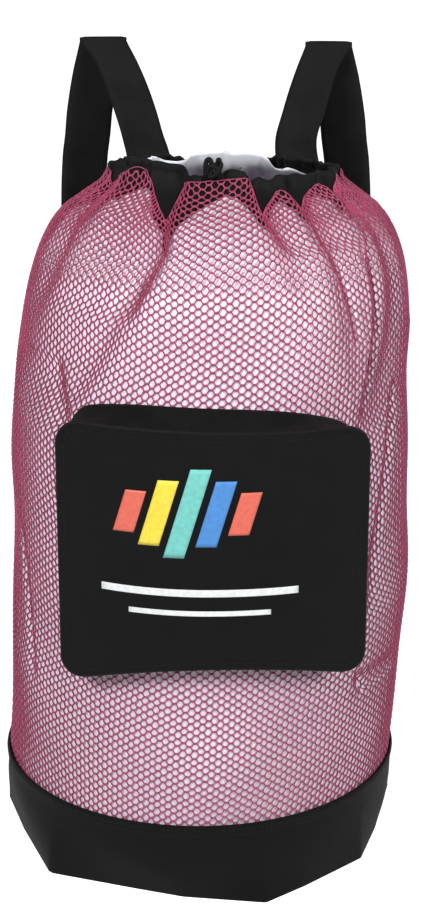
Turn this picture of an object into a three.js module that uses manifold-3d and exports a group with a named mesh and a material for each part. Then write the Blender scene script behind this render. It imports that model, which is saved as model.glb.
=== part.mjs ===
// Mesh drawstring dive backpack, standing on its base with a rolled white liner inside.
// Millimetres, +Z up. The pocket faces -Y, and +X is to the right of someone facing it.
// The origin is the middle of the base, on the floor.

import * as THREE from 'three';
import { mergeVertices } from 'three/addons/utils/BufferGeometryUtils.js';
import Module from 'manifold-3d';

// Body
const bodyHalfWidth = 203;
const bodyHalfDepth = 201;
const rimHeight = 692;
const rimLean = 26;
const pleatDepth = 9;
const pleatGrowth = 0.7;
const zigzagDrop = 46;
const rimWave = 12;

// Cloth
const netThickness = 1.5;
const collarThickness = 2;
const bandThickness = 2;
const panelThickness = 3;
const linerThickness = 1.2;
const pocketCloth = 2;
const strapThickness = 3;
const seamGap = 0.6;
const linerGap = 4;
const linerDraw = 1.5;
const strapSlack = 1.9;

// Base
const bandHeight = 84;
const netTuck = 10;
const footEase = 1.5;
const floorGap = 0.3;

// Pocket
const pocketWidth = 284;
const pocketHeight = 257;
const pocketTop = 490;
const pocketCentre = 15;
const pocketArch = 24;
const pocketTopFall = 6;
const pocketFootRise = 6;
const pocketCorner = 24;
const pocketStandOff = 36;
const pocketBend = 260;
const pocketPuff = 7;
const pocketRise = 15;
const pocketRiseSag = 23;
const pocketRiseShift = 14;
const pocketTaper = 0.94;

// Shoulder straps
const strapWidth = 47;
const strapAboveRim = 105;
const strapTop = rimHeight + strapAboveRim;
const strapDip = 5;
const strapSpread = 0.685 * bodyHalfWidth;
const strapCentre = 18;
const strapSetBack = 0.746 * bodyHalfDepth;
const strapFold = 2.6;
const strapHem = 26;
const strapCollarAngle = 140;
const strapBodyAngle = 137;

// Drawcord knot
const cordDiameter = 5;
const knotX = 16;
const knotWidth = 20;
const knotHeight = 19;

// Meshing
const columnPitch = 6;
const gapSpacing = 4;
const gapTop = 0.86;
const foldSteps = 4;
const pocketColumns = 11;

// Body sections from the floor to the rim, as shares of the rim's height,
// the half width, the half depth and the rim's lean.
const sections = [
  { height: 0.000, width: 0.975, depth: 0.970, lean: 0.00 },
  { height: 0.060, width: 0.988, depth: 1.000, lean: 0.00 },
  { height: 0.120, width: 0.984, depth: 1.000, lean: 0.04 },
  { height: 0.200, width: 0.985, depth: 0.995, lean: 0.19 },
  { height: 0.300, width: 0.992, depth: 0.985, lean: 0.35 },
  { height: 0.400, width: 0.995, depth: 0.980, lean: 0.48 },
  { height: 0.500, width: 0.985, depth: 0.980, lean: 0.50 },
  { height: 0.600, width: 0.978, depth: 0.975, lean: 0.45 },
  { height: 0.700, width: 0.960, depth: 0.965, lean: 0.50 },
  { height: 0.780, width: 0.938, depth: 0.940, lean: 0.70 },
  { height: 0.850, width: 0.905, depth: 0.885, lean: 0.82 },
  { height: 0.900, width: 0.850, depth: 0.775, lean: 0.87 },
  { height: 0.935, width: 0.768, depth: 0.640, lean: 0.88 },
  { height: 0.960, width: 0.655, depth: 0.500, lean: 0.90 },
  { height: 0.977, width: 0.580, depth: 0.405, lean: 0.95 },
  { height: 1.000, width: 0.552, depth: 0.355, lean: 1.00 },
  { height: 1.020, width: 0.548, depth: 0.350, lean: 1.00 },
];

// Corners of the sagging foot, by angle from the front, reach as a share of the section.
const footCorners = [
  { angle: -137, reach: 1.02 },
  { angle: -94, reach: 1.03 },
  { angle: -72, reach: 0.96 },
  { angle: -45, reach: 1.05 },
  { angle: -18, reach: 0.945 },
  { angle: -4, reach: 0.975 },
  { angle: 18, reach: 1.08 },
  { angle: 31, reach: 1.02 },
  { angle: 54, reach: 1.02 },
  { angle: 73, reach: 0.965 },
  { angle: 101, reach: 1.05 },
  { angle: 137, reach: 1.02 },
  { angle: 180, reach: 0.99 },
];

// Mouth stations by angle from the front: how far the net's edge drops from the rim's
// height, as a share of the zigzag, and how far the rim waves from it, as a share of the wave.
const mouth = [
  { angle: -69, drop: 0.37, wave: 0.85 },
  { angle: -47, drop: -0.05, wave: 0.85 },
  { angle: -21.5, drop: 0.85, wave: 0.50 },
  { angle: -15.5, drop: 0.15, wave: 0.00 },
  { angle: 10, drop: 0.09, wave: 0.45 },
  { angle: 15.8, drop: 0.74, wave: -0.30 },
  { angle: 26, drop: 0.33, wave: -0.35 },
  { angle: 34.6, drop: 0.67, wave: 0.00 },
  { angle: 48, drop: 0.28, wave: -0.15 },
  { angle: 61.5, drop: 0.56, wave: -0.15 },
  { angle: 73, drop: 0.18, wave: -0.25 },
  { angle: 86, drop: 0.60, wave: -0.40 },
  { angle: 98, drop: 0.20, wave: -0.20 },
  { angle: 112, drop: 0.72, wave: 0.00 },
  { angle: 127, drop: 0.18, wave: -0.20 },
  { angle: 142, drop: 0.65, wave: -0.40 },
  { angle: 158, drop: 0.20, wave: 0.00 },
  { angle: 173, drop: 0.76, wave: -0.15 },
  { angle: 188, drop: 0.18, wave: -0.15 },
  { angle: 203, drop: 0.70, wave: 0.10 },
  { angle: 217, drop: 0.22, wave: 0.00 },
  { angle: 232, drop: 0.74, wave: -0.10 },
  { angle: 246, drop: 0.18, wave: 0.00 },
  { angle: 261, drop: 0.55, wave: 0.20 },
  { angle: 279, drop: 0.10, wave: 0.30 },
];

// Pleat grooves: angle at the mouth, angle where the groove runs out, depth as a share of
// the pleat depth (a ridge is negative), spread in degrees, and the share of the rim's
// height where it runs out.
const pleats = [
  { top: -69, foot: -70, depth: 0.90, spread: 6, reach: 0.80 },
  { top: -21.5, foot: -44, depth: 1.00, spread: 5.5, reach: 0.69 },
  { top: -4, foot: -6, depth: -0.45, spread: 12, reach: 0.80 },
  { top: 15.8, foot: 30, depth: 1.00, spread: 5, reach: 0.82 },
  { top: 34.6, foot: 44, depth: 0.90, spread: 5.5, reach: 0.72 },
  { top: 61.5, foot: 50, depth: 0.90, spread: 6, reach: 0.66 },
  { top: 86, foot: 84, depth: 0.80, spread: 7, reach: 0.78 },
  { top: 112, foot: 118, depth: 0.90, spread: 6, reach: 0.74 },
  { top: 142, foot: 150, depth: 0.80, spread: 7, reach: 0.76 },
  { top: 173, foot: 171, depth: 1.00, spread: 6, reach: 0.70 },
  { top: 203, foot: 197, depth: 0.80, spread: 6, reach: 0.78 },
  { top: 232, foot: 224, depth: 0.90, spread: 6, reach: 0.74 },
  { top: 261, foot: 258, depth: 0.80, spread: 7, reach: 0.80 },
];

// Liner's top edge by angle, as a drop from the rim's height in shares of the zigzag.
const linerEdge = [
  { angle: -64, drop: 0.70 },
  { angle: -42, drop: 0.40 },
  { angle: -25, drop: 1.40 },
  { angle: -3, drop: 0.52 },
  { angle: 17, drop: 1.05 },
  { angle: 30, drop: 0.75 },
  { angle: 60, drop: 0.85 },
  { angle: 90, drop: 0.60 },
  { angle: 120, drop: 0.42 },
  { angle: 150, drop: 0.10 },
  { angle: 172, drop: -0.12 },
  { angle: 196, drop: -0.12 },
  { angle: 212, drop: 0.10 },
  { angle: 235, drop: 0.24 },
  { angle: 270, drop: 0.45 },
];

// One strap's free stretches, up from the collar and down behind the fold: out from the
// middle, back and up, as shares of the spread, the set-back and the top, and the turn of
// its width about the vertical, in degrees.
const strapRise = [
  { out: 0.555, back: 0.520, up: 0.886, turn: 16 },
  { out: 0.611, back: 0.600, up: 0.913, turn: 9 },
  { out: 0.667, back: 0.690, up: 0.942, turn: 4 },
  { out: 0.723, back: 0.753, up: 0.970, turn: 0 },
];
const strapReturn = [
  { out: 0.881, back: 0.887, up: 0.952, turn: 0 },
  { out: 0.932, back: 0.933, up: 0.905, turn: 0 },
  { out: 0.953, back: 0.960, up: 0.873, turn: 2 },
  { out: 0.978, back: 0.980, up: 0.842, turn: 5 },
  { out: 1.000, back: 1.000, up: 0.780, turn: 14 },
  { out: 1.005, back: 1.010, up: 0.690, turn: 28 },
  { out: 1.005, back: 1.010, up: 0.590, turn: 40 },
];
const strapCrest = { out: 0.817, back: 0.817 };

// Heights where a strap lies on the collar and on the body, as shares of the rim's height.
const strapOnCollar = [0.950, 0.966, 0.982];
const strapOnBody = [0.60, 0.50, 0.40, 0.30, 0.20];

// The knot's turns: place across and up from the rim, width and height as shares of the
// knot's, depth in cord diameters, and tilt in degrees.
const knotTurns = [
  { across: -0.27, up: 0.35, width: 0.48, depth: 1.6, height: 0.90, tilt: 4 },
  { across: 0.16, up: 0.12, width: 0.62, depth: 2.0, height: 0.70, tilt: -30 },
  { across: 0.22, up: 0.52, width: 0.30, depth: 1.2, height: 0.34, tilt: 0 },
];

const degrees = Math.PI / 180;
const netFoot = bandHeight - netTuck;

// Cubic through the rows of a table, by a key column.
function read(rows, key, column, at) {
  let i = 0;
  while (i < rows.length - 2 && rows[i + 1][key] < at) {
    i += 1;
  }
  const value = (n) => rows[Math.min(Math.max(n, 0), rows.length - 1)][column];
  const place = (n) => rows[Math.min(Math.max(n, 0), rows.length - 1)][key];
  const slope = (n) => (value(n + 1) - value(n - 1)) / (place(n + 1) - place(n - 1));
  const span = place(i + 1) - place(i);
  const t = Math.min(Math.max((at - place(i)) / span, 0), 1);
  const start = value(i);
  const end = value(i + 1);
  const rise = slope(i) * span;
  const fall = slope(i + 1) * span;
  return start * (2 * t ** 3 - 3 * t ** 2 + 1) + rise * (t ** 3 - 2 * t ** 2 + t)
    + end * (3 * t ** 2 - 2 * t ** 3) + fall * (t ** 3 - t ** 2);
}

// Straight line between the two rows of a ring table that an angle lies between.
function readRing(rows, column, angle) {
  const first = rows[0].angle;
  const turned = first + ((((angle - first) % 360) + 360) % 360);
  let i = 0;
  while (i < rows.length - 1 && rows[i + 1].angle <= turned) {
    i += 1;
  }
  const here = rows[i];
  const next = rows[(i + 1) % rows.length];
  const end = i + 1 < rows.length ? next.angle : first + 360;
  const t = (turned - here.angle) / (end - here.angle);
  return here[column] + (next[column] - here[column]) * t;
}

// Smallest signed turn between two angles.
function turnBetween(a, b) {
  return ((((a - b + 180) % 360) + 360) % 360) - 180;
}

// Reach of the foot's straight sides between its corners.
function footReach(angle) {
  const first = footCorners[0].angle;
  const turned = first + ((((angle - first) % 360) + 360) % 360);
  let i = 0;
  while (i < footCorners.length - 1 && footCorners[i + 1].angle <= turned) {
    i += 1;
  }
  const a = footCorners[i];
  const b = footCorners[(i + 1) % footCorners.length];
  const start = a.angle * degrees;
  const end = (i + 1 < footCorners.length ? b.angle : first + 360) * degrees;
  const at = turned * degrees;
  const across = a.reach * b.reach * Math.sin(end - start);
  return across / (a.reach * Math.sin(at - start) + b.reach * Math.sin(end - at));
}

// Depth of the pleats at an angle and height.
function pleatAt(angle, height) {
  let depth = 0;
  for (const pleat of pleats) {
    const low = pleat.reach * rimHeight;
    const t = Math.min(Math.max((height - low) / (rimHeight - low), 0), 1);
    const centre = pleat.foot + (pleat.top - pleat.foot) * Math.sqrt(t);
    const across = turnBetween(angle, centre) / pleat.spread;
    depth += pleat.depth * pleatDepth * t ** pleatGrowth * Math.exp(-across * across);
  }
  return depth;
}

// Depth of the deepest pleat at a height.
function deepestPleat(height) {
  const depths = pleats.map((pleat) => {
    const low = pleat.reach * rimHeight;
    const t = Math.min(Math.max((height - low) / (rimHeight - low), 0), 1);
    return pleat.depth * pleatDepth * t ** pleatGrowth;
  });
  return Math.max(...depths);
}

// A point of the body before any cloth's thickness, drawn in by a fold's depth.
function bodySurface(angle, height, dent) {
  const share = height / rimHeight;
  const settled = Math.min(Math.max(height / netFoot, 0), 1);
  const foot = 1 + (footReach(angle) - 1) * (1 - settled) ** footEase;
  const wide = read(sections, 'height', 'width', share) * bodyHalfWidth * foot - dent;
  const deep = read(sections, 'height', 'depth', share) * bodyHalfDepth * foot - dent;
  const lean = read(sections, 'height', 'lean', share) * rimLean;
  const turn = angle * degrees;
  return new THREE.Vector3(lean + wide * Math.sin(turn), -deep * Math.cos(turn), height);
}

// A point of the body moved out along the normal of its smooth form.
function bodyPoint(angle, height, outward, dent = pleatAt(angle, height)) {
  const step = 1;
  const round = bodySurface(angle + step, height, 0).sub(bodySurface(angle - step, height, 0));
  const up = bodySurface(angle, height + step, 0).sub(bodySurface(angle, height - step, 0));
  const normal = round.cross(up).normalize();
  return bodySurface(angle, height, dent).addScaledVector(normal, outward);
}

// Front of the body at a given x and height.
function bodyFront(x, height) {
  const share = height / rimHeight;
  const wide = read(sections, 'height', 'width', share) * bodyHalfWidth;
  const lean = read(sections, 'height', 'lean', share) * rimLean;
  const deep = read(sections, 'height', 'depth', share) * bodyHalfDepth;
  return -deep * Math.sqrt(1 - ((x - lean) / wide) ** 2);
}

// A closed cloth wall from a sheet's triangles and its outer and inner points.
function cloth(triangles, outer, inner) {
  const positions = [];
  const put = (a, b, c) => {
    for (const point of [a, b, c]) {
      positions.push(point.x, point.y, point.z);
    }
  };
  const edges = new Set(triangles.flatMap(([a, b, c]) => [`${a} ${b}`, `${b} ${c}`, `${c} ${a}`]));
  for (const [a, b, c] of triangles) {
    put(outer[a], outer[b], outer[c]);
    put(inner[a], inner[c], inner[b]);
    for (const [from, to] of [[a, b], [b, c], [c, a]]) {
      if (!edges.has(`${to} ${from}`)) {
        put(outer[to], outer[from], inner[from]);
        put(outer[to], inner[from], inner[to]);
      }
    }
  }
  const geometry = new THREE.BufferGeometry();
  geometry.setAttribute('position', new THREE.Float32BufferAttribute(positions, 3));
  geometry.computeVertexNormals();
  return geometry;
}

// Triangles of a grid of rows going up and columns going round or across.
// A staggered grid has its odd rows half a column on, and gaps lists the points left out.
function gridTriangles(rows, columns, { closed = true, staggered = false, gaps = new Set() } = {}) {
  const triangles = [];
  const last = closed ? columns : columns - 1;
  for (let r = 0; r < rows - 1; r += 1) {
    for (let c = 0; c < last; c += 1) {
      const next = (c + 1) % columns;
      const a = r * columns + c;
      const b = r * columns + next;
      const up = (r + 1) * columns + c;
      const upNext = (r + 1) * columns + next;
      if (staggered && r % 2 === 0) {
        triangles.push([a, b, up], [b, upNext, up]);
      } else {
        triangles.push([a, b, upNext], [a, upNext, up]);
      }
    }
  }
  return triangles.filter((triangle) => !triangle.some((point) => gaps.has(point)));
}

// Columns round the mouth: the stations, with even steps between them.
function columnAngles() {
  const angles = [];
  mouth.forEach((station, i) => {
    const end = i + 1 < mouth.length ? mouth[i + 1].angle : mouth[0].angle + 360;
    const steps = Math.max(Math.round((end - station.angle) / columnPitch), 1);
    for (let s = 0; s < steps; s += 1) {
      angles.push(station.angle + ((end - station.angle) * s) / steps);
    }
  });
  return angles;
}
const columns = columnAngles();

// Angle of a column, or of the point halfway to the next one on a staggered row.
function columnAngle(column, halfway) {
  if (!halfway) {
    return columns[column];
  }
  const next = column + 1 < columns.length ? columns[column + 1] : columns[0] + 360;
  return (columns[column] + next) / 2;
}

const netEdge = (angle) => rimHeight - zigzagDrop * readRing(mouth, 'drop', angle);
const rimEdge = (angle) => rimHeight + rimWave * readRing(mouth, 'wave', angle);
const netHeight = (angle, share) => netFoot + (netEdge(angle) - netFoot) * share;
const netRows = [0, 0.06, 0.12, 0.18, 0.24, 0.30, 0.36, 0.42, 0.48, 0.54, 0.60, 0.66, 0.72,
  0.78, 0.84, 0.90, 0.945, 0.975, 1];

// Net wall: a tube of coarse knit, open in a honeycomb of gaps, with a zigzag top edge.
function netWall() {
  const outer = [];
  const inner = [];
  const gaps = new Set();
  const patterned = Math.floor(columns.length / gapSpacing) * gapSpacing;
  const pocketSpan = Math.asin(pocketWidth / 2 / bodyHalfWidth) / degrees;
  netRows.forEach((share, r) => {
    for (let c = 0; c < columns.length; c += 1) {
      const angle = columnAngle(c, r % 2 === 1);
      const height = netHeight(angle, share);
      outer.push(bodyPoint(angle, height, 0));
      inner.push(bodyPoint(angle, height, -netThickness));
      const shifted = c + (r % 4 === 0 ? 0 : gapSpacing / 2);
      const honeycomb = r % 2 === 0 && c < patterned && shifted % gapSpacing === 0;
      const behindPocket = Math.abs(turnBetween(angle, 0)) < pocketSpan
        && height < pocketTop && height > pocketTop - pocketHeight;
      if (honeycomb && r > 0 && share < gapTop && !behindPocket) {
        gaps.add(r * columns.length + c);
      }
    }
  });
  const triangles = gridTriangles(netRows.length, columns.length, { staggered: true, gaps });
  return cloth(triangles, outer, inner);
}

// Collar: the band behind the net's top rows and up to the rim, on the same lattice.
function collar() {
  const outerFace = -netThickness - seamGap;
  const innerFace = outerFace - collarThickness;
  const outer = [];
  const inner = [];
  const rows = netRows.slice(-3).map((share) => (angle) => netHeight(angle, share));
  rows.push(rimEdge);
  rows.forEach((heightAt, r) => {
    for (let c = 0; c < columns.length; c += 1) {
      const angle = columnAngle(c, r % 2 === 1);
      outer.push(bodyPoint(angle, heightAt(angle), outerFace));
      inner.push(bodyPoint(angle, heightAt(angle), innerFace));
    }
  });
  return cloth(gridTriangles(rows.length, columns.length, { staggered: true }), outer, inner);
}

// Base band: the hem that holds the net's foot and stands on the floor.
function baseBand() {
  const heights = [0, 0.14, 0.4, 0.7, 1].map((share) => share * bandHeight);
  const outer = [];
  const inner = [];
  for (const height of heights) {
    for (const angle of columns) {
      outer.push(bodyPoint(angle, height, seamGap + bandThickness).setZ(height));
      inner.push(bodyPoint(angle, height, seamGap).setZ(height));
    }
  }
  return cloth(gridTriangles(heights.length, columns.length), outer, inner);
}

// Base panel: flat on the floor, its edge just inside the band.
function basePanel() {
  const outline = columns.map((angle) => {
    const edge = bodyPoint(angle, 0, 0);
    return new THREE.Vector2(edge.x, edge.y);
  });
  const shape = new THREE.Shape(outline);
  return new THREE.ExtrudeGeometry(shape, { depth: panelThickness, bevelEnabled: false });
}

// Liner: a rolled white sheet that stands on the base panel, open at its top, drawn in
// behind the deepest pleats.
function innerLiner() {
  const outerFace = -netThickness - linerGap;
  const shares = [0, 0.1, 0.3, 0.5, 0.68, 0.8, 0.87, 0.92, 0.95, 0.975, 1];
  const angles = columns.filter((angle, i) => i % 2 === 0);
  const foot = panelThickness + floorGap;
  const outer = [];
  const inner = [];
  for (const share of shares) {
    for (const angle of angles) {
      const edge = rimHeight - zigzagDrop * readRing(linerEdge, 'drop', angle);
      const height = foot + (edge - foot) * share;
      const dent = deepestPleat(height) * linerDraw;
      outer.push(bodyPoint(angle, height, outerFace, dent).setZ(height));
      inner.push(bodyPoint(angle, height, outerFace - linerThickness, dent).setZ(height));
    }
  }
  return cloth(gridTriangles(shares.length, angles.length), outer, inner);
}

// Pocket outline: bottom edge arched and tilted, corners rounded.
function pocketPoint(across, up) {
  const edge = Math.min(up, 1 - up) * pocketHeight;
  const short = Math.max(pocketCorner - edge, 0);
  const inset = pocketCorner - Math.sqrt(pocketCorner ** 2 - short ** 2);
  const half = pocketWidth / 2 - inset;
  const x = half * across;
  const rightward = x / pocketWidth + 0.5;
  const top = pocketTop - pocketTopFall * rightward;
  const foot = pocketTop - pocketHeight + pocketFootRise * rightward
    + pocketArch * (1 - (2 * x / pocketWidth) ** 2);
  const z = foot + (top - foot) * up;
  const middle = bodyFront(pocketCentre, pocketTop - pocketHeight / 2) - pocketStandOff;
  const crown = pocketPuff * (1 - across ** 4) * (1 - (2 * up - 1) ** 4);
  const y = middle + (x * x) / (2 * pocketBend) + pocketPuff - crown;
  return new THREE.Vector3(pocketCentre + x, y, z);
}
const pocketShares = [0, 0.012, 0.045, 0.1, 0.3, 0.5, 0.7, 0.9, 0.955, 0.988, 1];

// Pocket front: a crowned panel that wraps the body.
function pocketFront() {
  const outer = [];
  const inner = [];
  for (const up of pocketShares) {
    for (let c = 0; c < pocketColumns; c += 1) {
      const point = pocketPoint((2 * c) / (pocketColumns - 1) - 1, up);
      outer.push(point);
      inner.push(point.clone().add(new THREE.Vector3(0, pocketCloth, 0)));
    }
  }
  const triangles = gridTriangles(pocketShares.length, pocketColumns, { closed: false });
  return cloth(triangles, outer, inner);
}

// Pocket gusset: the strip from the panel's edge back to the net, open toward the net.
function pocketGusset() {
  const loop = [];
  const rows = pocketShares.length;
  for (let c = 0; c < pocketColumns; c += 1) {
    loop.push(pocketPoint((2 * c) / (pocketColumns - 1) - 1, 0));
  }
  for (let r = 1; r < rows - 1; r += 1) {
    loop.push(pocketPoint(1, pocketShares[r]));
  }
  for (let c = pocketColumns - 1; c >= 0; c -= 1) {
    loop.push(pocketPoint((2 * c) / (pocketColumns - 1) - 1, 1));
  }
  for (let r = rows - 2; r > 0; r -= 1) {
    loop.push(pocketPoint(-1, pocketShares[r]));
  }
  const inward = loop.map((point, i) => {
    const before = loop[(i + loop.length - 1) % loop.length];
    const after = loop[(i + 1) % loop.length];
    const along = after.clone().sub(before).setY(0).normalize();
    return new THREE.Vector3(-along.z, 0, along.x);
  });
  const outer = [];
  const inner = [];
  const strip = (place) => {
    loop.forEach((point, i) => {
      const at = place(point);
      const within = place(point.clone().addScaledVector(inward[i], pocketCloth));
      outer.push(at);
      inner.push(within);
    });
  };
  strip((point) => new THREE.Vector3(point.x, point.y + pocketCloth + seamGap, point.z));
  strip((point) => {
    const x = pocketCentre + (point.x - pocketCentre) * pocketTaper;
    const share = Math.max((point.z - pocketTop + pocketHeight / 2) / (pocketHeight / 2), 0);
    const level = Math.abs(point.x - pocketCentre + pocketRiseShift) / (pocketWidth / 2);
    const rise = pocketRise - pocketRiseSag * level ** 3;
    const z = point.z + rise * share ** 2;
    return new THREE.Vector3(x, bodyFront(x, z) - seamGap, z);
  });
  const triangles = gridTriangles(2, loop.length).map(([a, b, c]) => [a, c, b]);
  return cloth(triangles, outer, inner);
}

// Shoulder strap, side -1 for left and 1 for right: a folded flat webbing sewn to the
// collar's back, over a flat fold and down the body's back to the base band.
function strap(side, dip) {
  const outer = [];
  const inner = [];
  const put = (at, face, thickness) => {
    outer.push(at.clone().addScaledVector(face, thickness / 2));
    inner.push(at.clone().addScaledVector(face, -thickness / 2));
  };
  const seated = (angle, height, outward, facing) => {
    const reach = bodyPoint(angle + 1, height, 0, 0).distanceTo(bodyPoint(angle - 1, height, 0, 0));
    const half = strapWidth / reach;
    for (const edge of [1, 0, -1]) {
      const near = bodyPoint(angle + edge * half, height, outward, 0);
      const away = bodyPoint(angle + edge * half, height, outward + strapThickness, 0);
      outer.push(facing > 0 ? away : near);
      inner.push(facing > 0 ? near : away);
    }
  };

  for (const share of strapOnCollar) {
    seated(side * strapCollarAngle, share * rimHeight, seamGap + strapSlack, 1);
  }

  const line = [];
  const place = ({ out, back, up, turn }) => {
    const x = strapCentre + side * out * strapSpread;
    line.push({ at: new THREE.Vector3(x, back * strapSetBack, up * strapTop - dip), turn });
  };
  strapRise.forEach(place);
  for (let s = 0; s <= foldSteps; s += 1) {
    const turn = Math.PI * (s / foldSteps);
    const x = strapCentre + side * strapCrest.out * strapSpread;
    const y = strapCrest.back * strapSetBack - strapFold * Math.cos(turn);
    const z = strapTop - dip - strapThickness / 2 - strapFold * (1 - Math.sin(turn));
    line.push({ at: new THREE.Vector3(x, y, z), turn: 0 });
  }
  strapReturn.forEach(place);
  line.forEach(({ at, turn }, i) => {
    const before = line[Math.max(i - 1, 0)].at;
    const after = line[Math.min(i + 1, line.length - 1)].at;
    const along = after.clone().sub(before).normalize();
    const level = -side * turn * degrees;
    const across = new THREE.Vector3(Math.cos(level), Math.sin(level), 0);
    const face = along.cross(across).normalize();
    for (const edge of [-0.5, 0, 0.5]) {
      put(at.clone().addScaledVector(across, edge * strapWidth), face, strapThickness);
    }
  });

  for (const share of strapOnBody) {
    seated(side * strapBodyAngle, share * rimHeight, seamGap, -1);
  }
  for (const height of [bandHeight + strapThickness, bandHeight / 2, strapHem]) {
    seated(side * strapBodyAngle, height, seamGap + bandThickness + strapSlack, -1);
  }

  const rows = outer.length / 3;
  const triangles = gridTriangles(rows, 3, { closed: false });
  return cloth(triangles.map(([a, b, c]) => [a, c, b]), outer, inner);
}

const wasm = await Module();
wasm.setup();

function asManifold(geometry) {
  const plain = geometry.clone();
  plain.deleteAttribute('normal');
  plain.deleteAttribute('uv');
  const merged = mergeVertices(plain);
  return new wasm.Manifold(new wasm.Mesh({
    numProp: 3,
    vertProperties: merged.attributes.position.array,
    triVerts: new Uint32Array(merged.index.array),
  }));
}

function lobe({ across, up, width, depth, height, tilt }) {
  const ball = new THREE.SphereGeometry(0.5, 10, 6);
  const thick = cordDiameter * depth;
  ball.scale(knotWidth * width, thick, knotHeight * height);
  ball.rotateY(tilt * degrees);
  const seat = bodyPoint(0, rimHeight, -netThickness - seamGap).y - floorGap;
  ball.translate(knotX + knotWidth * across, seat - thick / 2, rimHeight + knotHeight * up);
  return asManifold(ball);
}

// Drawcord knot: a loop's end, a knotted turn and a bead of cord, joined into one solid.
function drawcordKnot() {
  const joined = knotTurns.map(lobe).reduce((a, b) => a.add(b)).getMesh();
  const geometry = new THREE.BufferGeometry();
  geometry.setAttribute('position', new THREE.BufferAttribute(joined.vertProperties, 3));
  geometry.setIndex(new THREE.BufferAttribute(joined.triVerts, 1));
  geometry.computeVertexNormals();
  return geometry;
}

const crimsonKnit = { color: 0xc0385f, roughness: 0.6, metalness: 0 };
const blackCloth = { color: 0x202121, roughness: 0.75, metalness: 0 };
const blackCord = { color: 0x181a19, roughness: 0.6, metalness: 0 };
const whiteSheet = { color: 0xe2e4ec, roughness: 0.55, metalness: 0 };

const backpack = new THREE.Group();
function addPiece(name, geometry, finish) {
  const mesh = new THREE.Mesh(geometry, new THREE.MeshStandardMaterial(finish));
  mesh.name = name;
  backpack.add(mesh);
}
addPiece('net_wall', netWall(), crimsonKnit);
addPiece('collar', collar(), blackCloth);
addPiece('base_band', baseBand(), blackCloth);
addPiece('base_panel', basePanel(), blackCloth);
addPiece('inner_liner', innerLiner(), whiteSheet);
addPiece('pocket_front', pocketFront(), blackCloth);
addPiece('pocket_gusset', pocketGusset(), blackCloth);
addPiece('strap_left', strap(-1, 0), blackCloth);
addPiece('strap_right', strap(1, strapDip), blackCloth);
addPiece('drawcord_knot', drawcordKnot(), blackCord);

export default backpack;
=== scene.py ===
import math

import bpy
import numpy as np
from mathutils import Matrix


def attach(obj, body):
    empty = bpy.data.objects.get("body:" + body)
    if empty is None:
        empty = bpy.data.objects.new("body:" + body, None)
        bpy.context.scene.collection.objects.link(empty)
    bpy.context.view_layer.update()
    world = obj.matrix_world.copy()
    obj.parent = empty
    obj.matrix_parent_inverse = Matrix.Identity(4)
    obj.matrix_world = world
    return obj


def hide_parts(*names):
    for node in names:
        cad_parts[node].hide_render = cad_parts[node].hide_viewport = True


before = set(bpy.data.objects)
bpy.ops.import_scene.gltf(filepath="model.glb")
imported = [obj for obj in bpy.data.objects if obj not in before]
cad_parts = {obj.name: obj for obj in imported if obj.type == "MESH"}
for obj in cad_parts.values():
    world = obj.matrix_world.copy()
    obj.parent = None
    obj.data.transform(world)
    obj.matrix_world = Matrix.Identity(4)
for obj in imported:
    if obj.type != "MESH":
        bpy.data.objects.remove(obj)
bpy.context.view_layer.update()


# The view and the studio: a pale floor that curves up behind the bag, a white surround and
# two large soft lights in front of it, the stronger one from the upper left.
# The camera stands a little above the bag's mouth and looks down on it.
camera_place = (0.016, -1.83, 1.00)
camera_tilt = 71.6
camera_lens = 75.0
camera_film = 36.0
surround_strength = 0.38
light_aim = np.array([0.0, 0.0, 0.60])
light_spread = 80.0


def new_object(name, data):
    """An object at the origin, in the scene."""
    made = bpy.data.objects.new(name, data)
    bpy.context.scene.collection.objects.link(made)
    return made


lens = bpy.data.cameras.new("camera")
lens.lens = camera_lens
lens.sensor_width = camera_film
camera = new_object("camera", lens)
camera.location = camera_place
camera.rotation_euler = (math.radians(camera_tilt), 0.0, 0.0)
bpy.context.scene.camera = camera
bpy.context.scene.view_settings.view_transform = "Standard"
bpy.context.scene.view_settings.look = "None"


def fill(tree, node, inputs):
    """Gives each named input of a node a value, or a link from another node's socket."""
    for title, value in inputs.items():
        if isinstance(value, bpy.types.NodeSocket):
            tree.links.new(value, node.inputs[title])
        else:
            node.inputs[title].default_value = value


def add_node(tree, kind, inputs, **options):
    """Adds a node with its options set and its inputs filled."""
    node = tree.nodes.new(kind)
    for title, value in options.items():
        setattr(node, title, value)
    fill(tree, node, inputs)
    return node


def new_material(name):
    """A new material with its node tree and its shader."""
    material = bpy.data.materials.new(name)
    material.use_nodes = True
    return material, material.node_tree, material.node_tree.nodes["Principled BSDF"]


def soft_light(name, place, width, power):
    """A square lamp that looks at the bag's upper half."""
    lamp = bpy.data.lights.new(name, "AREA")
    lamp.spread = math.radians(light_spread)
    lamp.shape = "SQUARE"
    lamp.size = width
    lamp.energy = power
    holder = new_object(name, lamp)
    holder.location = place
    away = np.array(place) - light_aim
    holder.rotation_euler = (math.atan2(math.hypot(away[0], away[1]), away[2]), 0.0,
                             math.atan2(away[1], away[0]) + math.pi / 2)


soft_light("key_light", (-1.4, -2.2, 2.1), width=0.8, power=14.5)
soft_light("fill_light", (2.0, -1.9, 1.8), width=1.1, power=11.5)

surround = bpy.data.worlds.new("studio")
bpy.context.scene.world = surround
surround.use_nodes = True
fill(surround.node_tree, surround.node_tree.nodes["Background"], {
    "Color": (1.0, 1.0, 1.0, 1.0), "Strength": surround_strength})

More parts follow.
